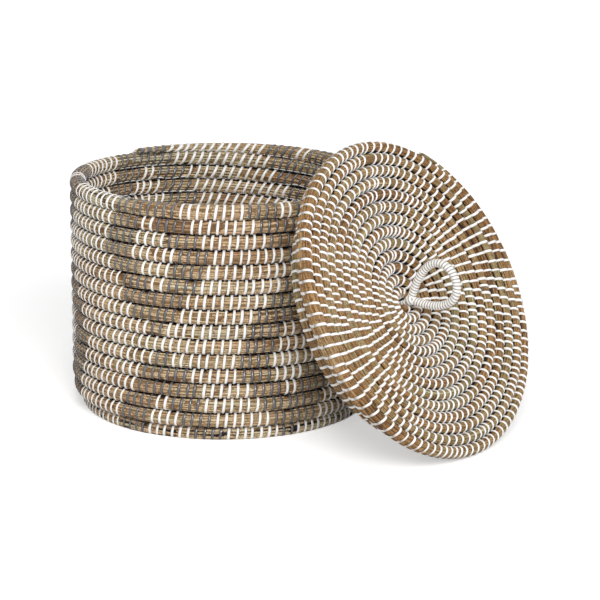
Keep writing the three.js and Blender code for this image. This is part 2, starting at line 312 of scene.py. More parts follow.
# The grass of the bundles, seen between the blades, given painted shade: brown on their faces,
# where the blades over it would shade it, and nearly black in the valleys, where rows press
# together and no light gets in.
SHADED_GRASS = SeagrassFinish("seagrass under painted shade", (
    (0.0, "140B04"), (0.25, "35210F"), (0.45, "8A6842"), (0.7, "A08A62"), (1.0, "C0AA7E")))
# Polypropylene film, slit, folded and pulled tight: clean white with a satin streak along each
# fold, and darkened by painted shade where a stitch goes down into the grass.
WHITE_STRIP = StripFinish("white polypropylene strip", "FCFBFA", "F0EFEC", "B5B0A8", 0.38)
# The same film dyed grey and glossier: dark strips with one bright streak on their crown, and
# painted shade, near black, where a stitch goes down into the grass.
GREY_STRIP = StripFinish("grey polypropylene strip", "636368", "4C4C50", "262628", 0.22, gloss=1.0)
# White strip wound edge to edge round a cord: soft white with a thin shadow in every groove.
WRAPPING_STRIP = StripFinish("white wrapping strip", "F7F5F2", "EBE8E3", "827D76", 0.45,
                             end_share=0.3)


@dataclass(frozen=True)
class Wrap:
    """A bmesh grid rolled into a closed tube, which every bundle and stitch is shaped from."""

    along: int
    around: int

    def mesh(self, name: str, count: int = 1) -> bpy.types.Mesh:
        """Rolls the tube and repeats it.

        Args:
            name: The mesh's name.
            count: How many tubes the mesh holds, one after another.

        Returns:
            A mesh with x from 0 to 1 along each tube, rolled about x.
        """
        bm = bmesh.new()
        bm.loops.layers.uv.new("UVMap")
        bmesh.ops.create_grid(bm, x_segments=self.along, y_segments=self.around, size=0.5,
                              calc_uvs=True)
        for vert in bm.verts:
            turn = FULL_TURN * (vert.co.y + 0.5)
            vert.co = Vector((vert.co.x + 0.5, math.cos(turn), math.sin(turn)))
        bmesh.ops.remove_doubles(bm, verts=bm.verts, dist=1e-5)
        ends = [edge for edge in bm.edges if edge.is_boundary]
        bmesh.ops.holes_fill(bm, edges=ends, sides=self.around)
        bmesh.ops.recalc_face_normals(bm, faces=bm.faces)
        mesh = bpy.data.meshes.new(name)
        bm.to_mesh(mesh)
        bm.free()
        mesh.polygons.foreach_set("use_smooth", [True] * len(mesh.polygons))
        return mesh if count == 1 else self._repeated(mesh, count)

    @staticmethod
    def _repeated(mesh: bpy.types.Mesh, count: int) -> bpy.types.Mesh:
        """Repeats a mesh with an Array modifier.

        Args:
            mesh: The mesh to repeat.
            count: How many copies the result holds.

        Returns:
            The mesh of all copies, in order.
        """
        holder = bpy.data.objects.new(mesh.name, mesh)
        bpy.context.scene.collection.objects.link(holder)
        array = holder.modifiers.new("repeat", "ARRAY")
        array.use_relative_offset = False
        array.count = count
        evaluated = holder.evaluated_get(bpy.context.evaluated_depsgraph_get())
        copies = bpy.data.meshes.new_from_object(evaluated)
        bpy.data.objects.remove(holder)
        return copies

    def shares(self, mesh: bpy.types.Mesh) -> tuple[Array, Array]:
        """Reads where each point of a freshly rolled mesh is.

        Args:
            mesh: A mesh from mesh().

        Returns:
            Each point's share of the way along its tube, and round it.
        """
        places = np.empty(len(mesh.vertices) * 3, np.float32)
        mesh.vertices.foreach_get("co", places)
        places = places.reshape(-1, 3).astype(float)
        around = np.round(np.arctan2(places[:, 2], places[:, 1]) / FULL_TURN * self.around)
        along = np.round(places[:, 0] * self.along)
        return along / self.along, (around % self.around) / self.around

    def sides(self, around: Array) -> Array:
        """Number of the side that each point is on, from its share of the way round."""
        return np.round(around * self.around).astype(int) % self.around


def set_points(mesh: bpy.types.Mesh, points: Array, floor: float = -math.inf) -> None:
    """Moves a mesh's points.

    Args:
        mesh: The mesh.
        points: One row of x, y and z in millimetres for each point.
        floor: The least height, to which lower points are pressed up.
    """
    points[:, 2] = np.maximum(points[:, 2], floor)
    mesh.vertices.foreach_set("co", (points * METRES).astype(np.float32).ravel())
    mesh.update()


def map_uv(mesh: bpy.types.Mesh, first: Callable[[Array, Array, Array], Array],
           second: Callable[[Array, Array, Array], Array]) -> None:
    """Rewrites a mesh's UV map from the grid's own one.

    Args:
        mesh: The mesh.
        first: Gives the new first value from each corner's point number and both old values,
            which are its shares of the way along its tube and round it.
        second: The same for the second value.
    """
    layer = mesh.uv_layers["UVMap"].uv
    uv = np.empty(len(layer) * 2, np.float32)
    layer.foreach_get("vector", uv)
    uv = uv.reshape(-1, 2).astype(float)
    corner_points = np.empty(len(mesh.loops), np.int32)
    mesh.loops.foreach_get("vertex_index", corner_points)
    new = np.column_stack([make(corner_points, uv[:, 0], uv[:, 1]) for make in (first, second)])
    layer.foreach_set("vector", new.astype(np.float32).ravel())


def copy_numbers(mesh: bpy.types.Mesh, count: int) -> Array:
    """Tells a mesh's equal copies apart.

    Args:
        mesh: A mesh of several tubes.
        count: How many it holds.

    Returns:
        The number of the tube that each point is on.
    """
    return np.arange(len(mesh.vertices)) // (len(mesh.vertices) // count)


def map_strips(mesh: bpy.types.Mesh, number: Array) -> None:
    """Maps each strip of a mesh between two whole numbers, which its finish tells apart.

    Args:
        mesh: A mesh of strips.
        number: The number of the strip that each point is on.
    """
    margin = 0.02
    map_uv(mesh, lambda at, share, _: number[at] + margin + (1 - 2 * margin) * share,
           lambda _, __, turn: turn)


def set_hues(mesh: bpy.types.Mesh, hues: Array) -> None:
    """Stores where each point of a grass mesh is on its finish's ramp of hues.

    Args:
        mesh: The mesh.
        hues: One value from 0 to 1 for each point.
    """
    layer = mesh.attributes.new(HUE, "FLOAT", "POINT")
    layer.data.foreach_set("value", np.clip(hues, 0, 1).astype(np.float32))


def hue_drift(run: Array, seed: int) -> Array:
    """How a bundle's hue changes as handfuls of other grass are fed into it.

    Args:
        run: Millimetres along the bundle.
        seed: Seed of the bundle's chances.

    Returns:
        The hue at each place, mostly from 0.2 to 0.8.
    """
    chance = np.random.default_rng(seed)
    handful, middle, spread = 95.0, 0.47, 0.14
    count = int(run.max() / handful) + 2
    wave = np.interp(run / handful, np.arange(count), chance.normal(0, 1, count))
    return middle + spread * wave


def add_piece(mesh: bpy.types.Mesh, name: str, body: Body,
              material: bpy.types.Material, replaces: Sequence[str] = ()) -> bpy.types.Object:
    """Puts a finished mesh in the scene as a piece of the basket.

    Args:
        mesh: The mesh, in metres and in place.
        name: The piece's name.
        body: The body it rides on.
        material: Its material.
        replaces: The frame's nodes that it stands for.

    Returns:
        The new object.
    """
    piece = bpy.data.objects.new(name, mesh)
    bpy.context.scene.collection.objects.link(piece)
    mesh.materials.append(material)
    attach(piece, body.value)
    if replaces:
        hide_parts(*replaces)
    LOG.info("%s: %d points, %d faces, rides on %s", name, len(mesh.vertices), len(mesh.polygons),
             body.value)
    return piece


@dataclass(frozen=True)
class Stations:
    """Where a bundle's middle is, and how big the bundle is there, one value for each place."""

    angle: Array
    radius: Array
    height: Array
    width: Array
    thickness: Array

    def points(self, across: Array, up: Array) -> Array:
        """Gives points of the bundle.

        Args:
            across: How far out from the bundle's middle, in millimetres.
            up: How far above it.

        Returns:
            One row of x, y and z for each place.
        """
        radius = self.radius + across
        return np.column_stack([radius * np.cos(self.angle), radius * np.sin(self.angle),
                                self.height + up])

    @property
    def girth(self) -> Array:
        """Millimetres round the bundle."""
        return math.pi * (self.width + self.thickness) / 2

    def surface(self, share: Array, above: Array) -> Array:
        """Gives points on the bundle's surface or above it.

        Args:
            share: Share of the way round, as in section().
            above: Millimetres above the surface.

        Returns:
            One row of x, y and z for each place.
        """
        across, up = section(share)
        return self.points(across * (self.width / 2 + above), up * (self.thickness / 2 + above))


def summed(steps: Array) -> Array:
    """Adds up the steps between places, from zero at the first place."""
    return np.concatenate([[0], np.cumsum(steps)])


def smoothstep(share: Array) -> Array:
    """Eases a share in and out."""
    held = np.clip(share, 0, 1)
    return held * held * (3 - 2 * held)


def apart(first: Array, second: Array | float, circle: float = 1.0) -> Array:
    """How far two places on a circle are from each other, the short way round.

    Args:
        first: Places, in any unit.
        second: The places to measure from.
        circle: The length of the whole circle in that unit.

    Returns:
        The distance between each pair.
    """
    return np.abs((first - second + circle / 2) % circle - circle / 2)


def steps_made(turns: Array, step_share: float) -> Array:
    """Steps to a next row that a bundle has made.

    Args:
        turns: Turns of the bundle.
        step_share: Share of a turn that a step takes.

    Returns:
        Whole steps and the share of the one being made.
    """
    whole = np.floor(turns)
    return whole + smoothstep((turns - whole) / step_share)


def spiral_radius(turns: Array, last: float, pitch: float, step_share: float) -> Array:
    """Radius of a flat spiral that widens evenly near its middle and row by row near its edge.

    Args:
        turns: Turns of the bundle.
        last: Turns at its edge.
        pitch: Distance between rows.
        step_share: Share of a turn that a step takes.

    Returns:
        The radius at each place.
    """
    row_by_row = last + steps_made(turns - last, step_share)
    edge_share = np.clip((turns - 1) / (last - 2), 0, 1)
    return pitch * (turns + (row_by_row - turns) * edge_share)


def section(share: Array, roundness: float = 2.05) -> tuple[Array, Array]:
    """Outline of a sewn bundle's section, a rounded one that its neighbours press flatter.

    Args:
        share: Share of the way round, from the underside by the outer side to the top.
        roundness: Two is an ellipse, and more is squarer.

    Returns:
        Shares of the half width outwards and of the half thickness upwards.
    """
    turn = FULL_TURN * share - math.pi / 2
    across, up = np.cos(turn), np.sin(turn)
    power = 2 / roundness
    return np.sign(across) * np.abs(across) ** power, np.sign(up) * np.abs(up) ** power


@dataclass(frozen=True)
class Bundle:
    """A sewn bundle as one unbroken tube: its turns, its fineness and how stitches pinch it.

    It runs from first to last, in turns. fill is added all round, lumps is the blades' own
    unevenness and pinch what a stitch takes off. Each end is rounded off over end_taper. The
    valleys, in which neighbouring rows touch, get painted shade: their hue is taken down to the
    darkest end of the ramp. From open_from on there is no further row, so the valley that would
    face it is open and gets no painted shade.
    """

    name: str
    first: float
    last: float
    rings_per_turn: int
    sides: int
    stations: Callable[[Array], Stations]
    seed: int
    fill: float = 0.0
    pinch: float = 0.35
    lumps: float = 0.25
    lump_rings: int = 6
    floor: float = -math.inf
    end_taper: float = 6.0
    end_share: float = 0.35
    hue_lift: float = 0.08
    rows: Rows = Rows.STACKED
    valley_width: float = 0.12
    valley_fade: float = 0.5
    open_from: float = math.inf

    def mesh(self) -> bpy.types.Mesh:
        """Builds the tube, its outline a little uneven from blade to blade.

        Returns:
            The mesh, with its hues.
        """
        rings = round((self.last - self.first) * self.rings_per_turn)
        wrap = Wrap(rings, self.sides)
        mesh = wrap.mesh(self.name)
        along, around = wrap.shares(mesh)
        ring_turns = self.first + (self.last - self.first) * np.arange(rings + 1) / rings
        middle = self.stations(ring_turns).points(np.zeros(rings + 1), np.zeros(rings + 1))
        run = summed(np.linalg.norm(np.diff(middle, axis=0), axis=1))
        ring = np.round(along * rings).astype(int)
        side = wrap.sides(around)
        place = self.stations(ring_turns[ring])
        across, up = section(1 - around)
        grown = self.fill + self._unevenness(ring, side, rings)
        taper = self._end_taper(run, ring)
        points = place.points(across * (place.width / 2 + grown) * taper,
                              up * (place.thickness / 2 + grown) * taper)
        set_points(mesh, points, self.floor)
        girth = math.pi * (place.width.mean() + place.thickness.mean()) / 2
        map_uv(mesh, lambda at, *_: run[ring[at]] * METRES,
               lambda _, __, turn: turn * girth * METRES)
        # The hue is multiplied by the painted shade of the valleys, which takes it to the ramp's
        # near-black end there.
        set_hues(mesh, (hue_drift(run, self.seed) + self.hue_lift)[ring]
                 * self._painted_valley_shade(1 - around, ring_turns[ring]))
        return mesh

    def _painted_valley_shade(self, share: Array, turns: Array) -> Array:
        """Painted shade: how far a point is from the two valleys, which are opposite each other.

        Args:
            share: Each point's share of the way round, as in section().
            turns: Each point's turns.

        Returns:
            Zero, full painted shade, in a valley and one, no shade, on a face.
        """
        quarter = 0.25
        away = apart(share, self.rows.value, circle=0.5) / quarter
        opened = (apart(share, self.rows.towards_next) < quarter) & (turns > self.open_from)
        return smoothstep((np.where(opened, 1.0, away) - self.valley_width) / self.valley_fade)

    def _unevenness(self, ring: Array, side: Array, rings: int) -> Array:
        """Small bumps of the blades, and a waist at every stitch.

        Args:
            ring: Each point's ring.
            side: Each point's side.
            rings: The number of rings.

        Returns:
            Millimetres to add at each point.
        """
        chance = np.random.default_rng(self.seed)
        coarse = chance.normal(0, 1, (rings // self.lump_rings + 3, self.sides))
        place = ring / self.lump_rings
        low = np.floor(place).astype(int)
        share = place - low
        lumps = coarse[low, side] * (1 - share) + coarse[low + 1, side] * share
        waist = np.where(ring % 2 == 0, -self.pinch, 0.0)
        return lumps * self.lumps + waist

    def _end_taper(self, run: Array, ring: Array) -> Array:
        """Rounds a bundle off over its last few millimetres.

        Args:
            run: Millimetres along the bundle for each ring.
            ring: Each point's ring.

        Returns:
            The share of the full section at each point.
        """
        spare = np.minimum(run, run[-1] - run)[ring] / self.end_taper
        held = np.clip(spare, 0, 1)
        return self.end_share + (1 - self.end_share) * np.sqrt(1 - (1 - held) ** 2)


@dataclass(frozen=True)
class Lane:
    """A line along a bundle's surface that blades lie on, and the turns between which it shows."""

    share: float
    first: float
    last: float


def lanes(face: Span, count: int, first: float, last: float) -> tuple[Lane, ...]:
    """Spreads lanes evenly over a face of a bundle.

    Args:
        face: Shares of the way round between which the face is.
        count: How many lanes there are.
        first: Turns at their start.
        last: Turns at their end.

    Returns:
        The lanes.
    """
    return tuple(Lane(float(share), first, last) for share in np.linspace(*face, count))


@dataclass(frozen=True)
class Blades:
    """Folded blades of grass on a bundle's surface, each a few stitches long.

    A blade's width and rise are drawn from the given shares of the usual ones. Each next blade in
    a lane starts at laid_share of the one before, and both ends dive into the bundle. Most blades
    lie nearly straight and some stray; a few are paler or darker than their neighbours.
    """

    name: str
    stations: Callable[[Array], Stations]
    lanes: tuple[Lane, ...]
    seed: int
    hue_seed: int
    width: float = 3.9
    width_shares: Span = (0.65, 1.2)
    rise: float = 0.6
    rise_shares: Span = (0.45, 1.0)
    edge_drop: float = 0.12
    tip_share: float = 0.3
    tip_widening: float = 6.0
    dive: float = 0.9
    dive_steepness: float = 7.0
    lengths: Span = (45.0, 105.0)
    laid_share: float = 0.97
    stagger: float = 40.0
    shortest: float = 12.0
    overhang: float = 0.0
    slant: float = 1.0
    stray_chance: float = 0.1
    stray_slant: float = 5.0
    wander: float = 0.35
    jitter: float = 0.4
    hue_spread: float = 0.055
    pale_chance: float = 0.04
    pale_step: float = 0.4
    dark_chance: float = 0.03
    dark_step: float = 0.2
    floor: float = -math.inf
    wrap: Wrap = Wrap(8, 3)

    def _placed(self, chance: np.random.Generator) -> tuple[Array, Array, Array]:
        """Lays blades end to end along every lane.

        Args:
            chance: Source of the chances.

        Returns:
            Turns where each blade starts and ends, and its lane's share of the way round.
        """
        rows: list[Array] = []
        for lane in self.lanes:
            middle = np.linspace(lane.first, lane.last, LANE_POINTS)
            radius = self.stations(middle).radius
            run = summed(np.diff(middle) * FULL_TURN * (radius[1:] + radius[:-1]) / 2)
            lengths = chance.uniform(*self.lengths, int(run[-1] / self.lengths[0]) + 2)
            starts = summed(lengths * self.laid_share)[:-1] - chance.uniform(0, self.stagger)
            kept = starts < run[-1] - self.shortest
            begin = np.interp(starts[kept], run, middle)
            furthest = run[-1] + self.overhang * chance.random(kept.sum())
            end_run = np.minimum(starts[kept] + lengths[kept], furthest)
            end = np.interp(end_run, run, middle)
            beyond = np.maximum(end_run - run[-1], 0) / (FULL_TURN * radius[-1])
            rows.append(np.column_stack([begin, end + beyond, np.full(len(begin), lane.share)]))
        table = np.concatenate(rows)
        return table[:, 0], table[:, 1], table[:, 2]

    def mesh(self) -> bpy.types.Mesh:
        """Builds all blades, wandering a little to either side and diving in at their ends.

        Returns:
            The mesh of all blades, with their hues.
        """
        chance = np.random.default_rng(self.seed)
        begin, end, lane_share = self._placed(chance)
        count = len(begin)
        mesh = self.wrap.mesh(self.name, count)
        along, around = self.wrap.shares(mesh)
        blade = copy_numbers(mesh, count)
        corner = self.wrap.sides(around)
        turns = begin[blade] + (end - begin)[blade] * along
        place = self.stations(turns)
        width = (self.width * chance.uniform(*self.width_shares, count))[blade]
        slant = np.where(chance.random(count) < self.stray_chance,
                         chance.normal(0, self.stray_slant, count),
                         chance.normal(0, self.slant, count))[blade]
        wander = chance.normal(0, self.wander, count)[blade] * np.sin(FULL_TURN * along)
        jitter = chance.normal(0, self.jitter, count)[blade]
        to_end = np.minimum(along, 1 - along)
        narrowing = np.minimum(1, self.tip_widening * to_end + self.tip_share)
        beside = np.array([0.5, 0.0, -0.5])[corner] * width * narrowing
        sideways = jitter + wander + slant * (along - 0.5) + beside
        rise = (self.rise * chance.uniform(*self.rise_shares, count))[blade]
        above = np.array([-self.edge_drop, 1.0, -self.edge_drop])[corner] * rise
        above -= self.dive * (1 - np.minimum(1, self.dive_steepness * to_end))
        share = lane_share[blade] + sideways / place.girth
        set_points(mesh, place.surface(share, above), self.floor)
        run = turns * FULL_TURN * MAPPED_RADIUS
        on, over = PATTERN_STEP
        map_uv(mesh, lambda at, *_: (run[at] + on * blade[at]) * METRES,
               lambda at, _, turn: (turn * width[at] + over * blade[at]) * METRES)
        set_hues(mesh, self._hues(chance, turns, blade, count))
        return mesh

    def _hues(self, chance: np.random.Generator, turns: Array, blade: Array, count: int) -> Array:
        """Gives every blade a hue near its bundle's, and a few a pale or a dark one.

        Args:
            chance: Source of the chances.
            turns: Each point's turns along the bundle.
            blade: Each point's blade number.
            count: How many blades there are.

        Returns:
            The hue at each point.
        """
        places = np.linspace(min(0.0, turns.min()), turns.max(), LINE_POINTS)
        radius = self.stations(places).radius
        run = summed(np.diff(places) * FULL_TURN * radius[1:])
        drift = hue_drift(run, self.hue_seed)
        own = chance.normal(0, self.hue_spread, count)
        odd = chance.random(count)
        own = np.where(odd > 1 - self.dark_chance, -self.dark_step, own)
        own = np.where(odd < self.pale_chance, self.pale_step, own)
        return np.interp(turns, places, drift) + own[blade]


@dataclass(frozen=True)
class Stitching:
    """Strip sewn round a bundle: each stitch is one turn of it, from valley to valley and back.

    A stitch leans by face_lean on the side that shows, and goes on to the next one behind. lift is
    how far its edges are above the bundle, and rise how much further its folded middle is.
    """

    name: str
    stations: Callable[[Array], Stations]
    seed: int
    width: float = 3.7
    rise: float = 0.62
    lift: float = 0.42
    face_lean: float = 2.2
    lean_spread: float = 0.35
    width_spread: float = 0.07
    least_radius: float = 5.0
    rows: Rows = Rows.STACKED
    floor: float = -math.inf
    wrap: Wrap = Wrap(14, 4)

    def mesh(self, turns: Array, spacing: Array) -> bpy.types.Mesh:
        """Builds all stitches of one colour.

        Args:
            turns: Where each stitch starts, in turns of its bundle.
            spacing: Millimetres from each stitch to the next.

        Returns:
            The mesh of all stitches.
        """
        count = len(turns)
        mesh = self.wrap.mesh(self.name, count)
        along, around = self.wrap.shares(mesh)
        stitch = copy_numbers(mesh, count)
        chance = np.random.default_rng(self.seed)
        lean = (self.face_lean + chance.normal(0, self.lean_spread, count))[stitch]
        width = (self.width * (1 + chance.normal(0, self.width_spread, count)))[stitch]
        climbed = (1 - np.cos(FULL_TURN * along)) / 2
        outside = along < 0.5
        sideways = np.where(outside, lean, spacing[stitch] - lean)
        advance = np.where(outside, lean * climbed, lean + sideways * (1 - climbed))
        middle = self.stations(turns[stitch])
        slope = sideways / np.maximum(middle.thickness, 1.0)
        corner = self.wrap.sides(around)
        beside = STRIP_ACROSS[corner] * width * np.sqrt(1 + slope ** 2)
        above = self.lift + self.rise * STRIP_RAISED[corner]
        share = along + self.rows.value
        across, _ = section(share)
        here = np.maximum(middle.radius + across * middle.width / 2, self.least_radius)
        offset = advance / middle.radius + beside / here
        place = self.stations(turns[stitch] + offset / FULL_TURN)
        set_points(mesh, place.surface(share, above), self.floor)
        map_strips(mesh, stitch)
        return mesh


@dataclass(frozen=True)
class CarriedStrip:
    """White strip that lies along the inside of a row while the grey one is sewn over it."""

    name: str
    stations: Callable[[Array], Stations]
    seed: int
    share: float = 0.893
    width: float = 2.6
    rise: float = 0.5
    lift: float = 0.35
    wave: float = 0.7
    sag: float = 0.8
    dive: float = 1.6
    dive_steepness: float = 8.0
    wrap: Wrap = Wrap(12, 4)

    def mesh(self, first: Array, last: Array) -> bpy.types.Mesh:
        """Builds one piece of strip for every stretch.

        Args:
            first: Turns at each stretch's start.
            last: Turns at its end.

        Returns:
            The mesh of all of them.
        """
        mesh = self.wrap.mesh(self.name, len(first))
        along, around = self.wrap.shares(mesh)
        stretch = copy_numbers(mesh, len(first))
        chance = np.random.default_rng(self.seed)
        wave = chance.normal(0, self.wave, len(first))[stretch] * np.sin(3 * math.pi * along)
        sag = chance.normal(0, self.sag, len(first))[stretch]
        corner = self.wrap.sides(around)
        beside = -STRIP_ACROSS[corner] * self.width
        above = self.lift + self.rise * STRIP_RAISED[corner]
        above -= self.dive * (1 - np.minimum(1, self.dive_steepness * np.minimum(along, 1 - along)))
        place = self.stations(first[stretch] + (last - first)[stretch] * along)
        share = self.share + (wave + sag + beside) / place.girth
        set_points(mesh, place.surface(share, above))
        map_strips(mesh, stretch)
        return mesh


@dataclass(frozen=True)
class Motif:
    """A column of diamonds in the pattern: where it is, and the rows that their middles are on."""

    azimuth: float
    middle_rows: tuple[int, ...]
    # Degrees that each row is set further to the right, counted from the drift row.
    drift: float = 0.47
    drift_row: int = 4
    # Stitches from a middle to the grey's and to the core's edge, by the rows from that middle.
    reaches: tuple[int, ...] = (7, 6, 5, 4, 3, 1, 0)
    cores: tuple[int, ...] = (3, 2, 1, 0, 0, 0, 0)

    def azimuths(self, row: Array) -> Array:
        """Azimuth of the column's middle, which each row sets a little further to the right."""
        return self.azimuth + self.drift * (row - self.drift_row)

    def halves(self, row: Array) -> tuple[Array, Array]:
        """How far the diamonds reach from their middle in each row.

        Args:
            row: Row numbers, counted down from the rim.

        Returns:
            Stitches from the middle to the grey's edge, and to the white core's edge.
        """
        distance = np.min([np.abs(row - middle) for middle in self.middle_rows], axis=0)
        step = np.minimum(distance, len(self.reaches) - 1)
        return np.array(self.reaches)[step], np.array(self.cores)[step]


@dataclass
class Basket:
    """The open basket: a flat spiral base and a wall of level rows, sewn in white and grey.

    Turns are counted from the middle in the base, and from the base's end in the wall.
    """

    # The wall's rows and the bundle that they are coiled from.
    rows: int = 16
    row_pitch: float = 18.4
    row_gap: float = 0.6
    cord_width: float = 18.4
    centre_radius: float = 180.8
    # The foot, where the base's spiral goes over into the wall.
    foot_inset: float = 6.0
    foot_cut: float = 1.8
    base_row_gap: float = 1.2
    start_degrees: float = 20.0
    # Steps from row to row, as shares of a turn, and the bundle's two ends.
    climb_share: float = 0.5
    base_step_share: float = 0.75
    base_start: float = 0.1
    heart_fill: float = 9.0
    heart_turns: float = 1.4
    rim_press: float = 1.0
    tail_share: float = 0.3
    join_share: float = 0.03
    tail_narrowing: float = 0.6
    # Stitches; their spacing swings by a share, and the pattern changes row a little after a turn.
    stitches_per_turn: float = 107.3
    spacing_swing: float = 0.07
    widest_azimuth: float = 190.0
    first_stitch: float = -0.25
    stitch_jitter: float = 0.045
    base_spacing: float = 10.0
    base_margin: float = 0.1
    row_change: float = 0.2
    # Faces that blades lie on, as shares of the way round the bundle.
    outer_face: Span = (0.1, 0.4)
    top_face: Span = (0.46, 0.54)
    inner_face: Span = (0.605, 0.89)
    floor_face: Span = (0.37, 0.63)
    # Stitches from the white one at each end of a grey stretch to the carried strip's own end.
    carried_from: float = 0.3
    carried_to: float = 0.8
    motifs: tuple[Motif, ...] = (
        Motif(-144.0, (4, 16)), Motif(-86.0, (-1, 11)), Motif(-25.6, (4, 16)),
        Motif(26.4, (-1, 11), drift=0.1), Motif(84.0, (4, 16)), Motif(146.0, (-1, 11)),
    )

    @property
    def cord_height(self) -> float:
        """Height of the bundle in a row."""
        return self.row_pitch - self.row_gap

    @property
    def first_height(self) -> float:
        """Height of the first row's middle."""
        return self.cord_height / 2 - self.foot_cut

    @property
    def rim_top(self) -> float:
        """Height of the rim."""
        return self.first_height + (self.rows - 1) * self.row_pitch + self.cord_height / 2

    @property
    def base_turns(self) -> float:
        """Turns of the base's spiral."""
        return (self.centre_radius - self.foot_inset) / self.row_pitch

    @property
    def tail_end(self) -> float:
        """Turns of the wall at the tapered end in its rim."""
        return self.rows - 1 + self.tail_share

    def base_stations(self, turns: Array) -> Stations:
        """Places along the base's bundle.

        Args:
            turns: Turns of the base, from its middle.

        Returns:
            The bundle's middle and size at each place.
        """
        same = np.ones_like(turns)
        heart = self.heart_fill * np.clip(1 - turns / self.heart_turns, 0, 1)
        return Stations(
            angle=math.radians(self.start_degrees) + FULL_TURN * (turns - self.base_turns),
            radius=spiral_radius(turns, self.base_turns, self.row_pitch, self.base_step_share),
            height=self.first_height * same,
            width=(self.row_pitch - self.base_row_gap) * same + heart,
            thickness=self.cord_height * same,
        )

    def wall_stations(self, turns: Array) -> Stations:
        """Places along the wall's bundle, which goes on where the base ends.

        Args:
            turns: Turns of the wall, from the base's end.

        Returns:
            The bundle's middle and size at each place.
        """
        climbed = steps_made(turns, self.climb_share)
        full = self.row_pitch * (self.rows - climbed) - self.row_gap
        thickness = np.maximum(np.minimum(self.cord_height, full), 1.0)
        inset = self.foot_inset * (1 - np.minimum(1, steps_made(turns, self.base_step_share)))
        narrowing = self.tail_narrowing + (1 - self.tail_narrowing) * thickness / self.cord_height
        return Stations(
            angle=math.radians(self.start_degrees) + FULL_TURN * turns,
            radius=self.centre_radius - inset,
            height=np.minimum(self.first_height + self.row_pitch * climbed,
                              self.rim_top - self.rim_press - thickness / 2),
            width=self.cord_width * narrowing,
            thickness=thickness,
        )

    def outer_stations(self, turns: Array) -> Stations:
        """Places along the wall and, below zero turns, along the base's last turn.

        Args:
            turns: Turns of the wall.

        Returns:
            The bundle's middle and size at each place.
        """
        wall = self.wall_stations(np.maximum(turns, 0))
        base = self.base_stations(np.minimum(turns, 0) + self.base_turns)
        low = turns < 0
        return Stations(*(np.where(low, getattr(base, name), getattr(wall, name))
                          for name in ("angle", "radius", "height", "width", "thickness")))

    def spacing_share(self, azimuth: Array) -> Array:
        """How much wider than the mean one the stitches' spacing is at an azimuth."""
        return 1 + self.spacing_swing * np.cos(np.radians(azimuth - self.widest_azimuth))

    def sewn_turns(self, numbers: Array) -> Array:
        """Turns of the wall at which stitches are, wider apart at the back than in front.

        Args:
            numbers: Numbers of the stitches, counted from the base's end.

        Returns:
            The turns.
        """
        even = numbers / self.stitches_per_turn
        phase = math.radians(self.start_degrees + FRONT_DEGREES - self.widest_azimuth)
        wave = np.sin(FULL_TURN * even + phase) - math.sin(phase)
        return even + self.spacing_swing * wave / FULL_TURN

    def strip_colours(self, turns: Array) -> Array:
        """Colour of the stitch at each place, by the pattern of diamonds.

        Args:
            turns: Turns of the wall, below zero on the base's last turn.

        Returns:
            A StripColour number for each stitch.
        """
        whole = np.floor(turns)
        row = (self.rows - 1 - whole + (turns - whole < self.row_change)).astype(int)
        azimuth = self.start_degrees + 360 * turns + FRONT_DEGREES
        grey = np.zeros(len(turns), bool)
        for motif in self.motifs:
            away = apart(azimuth, motif.azimuths(row), circle=360)
            stitches = away / (360 / self.stitches_per_turn * self.spacing_share(azimuth))
            reach, core = motif.halves(row)
            grey |= (stitches < reach) & (stitches >= core)
        return np.where(grey, StripColour.GREY.value, StripColour.WHITE.value)

    def build(self, grass: bpy.types.Material, blade_grass: bpy.types.Material,
              strips: dict[StripColour, bpy.types.Material]) -> None:
        """Builds the base, the wall and their stitches.

        Args:
            grass: The bundles' material.
            blade_grass: The material of the blades that lie on them.
            strips: The materials of the white and of the grey strip.
        """
        base = Bundle("base_bundle", self.base_start, self.base_turns, rings_per_turn=110,
                      sides=18, stations=self.base_stations, seed=3, floor=0.0, lumps=0.2,
                      rows=Rows.BESIDE, end_taper=2.0)
        add_piece(base.mesh(), "base_bundle", Body.BASKET, grass, ["base_coil"])
        wall = Bundle("wall_bundle", -self.join_share, self.tail_end, rings_per_turn=230,
                      sides=26, stations=self.outer_stations, seed=5, floor=0.0,
                      open_from=self.tail_end - 1)
        add_piece(wall.mesh(), "wall_bundle", Body.BASKET, grass, ["wall_coil"])
        wall_lanes = (lanes(self.outer_face, 6, -1.0, self.tail_end)
                      + lanes(self.inner_face, 5, 0.0, self.tail_end)
                      + lanes(self.top_face, 2, self.rows - 2.0, self.tail_end))
        wall_blades = Blades("wall_blades", self.outer_stations, wall_lanes, seed=6, hue_seed=5,
                             overhang=14.0, floor=0.0)
        add_piece(wall_blades.mesh(), "wall_blades", Body.BASKET, blade_grass)
        base_lanes = lanes(self.floor_face, 4, self.base_start, self.base_turns - 0.5)
        base_blades = Blades("base_blades", self.base_stations, base_lanes, seed=7, hue_seed=3)
        add_piece(base_blades.mesh(), "base_blades", Body.BASKET, blade_grass)
        self._sew_wall(strips)
        self._sew_base(strips[StripColour.WHITE])

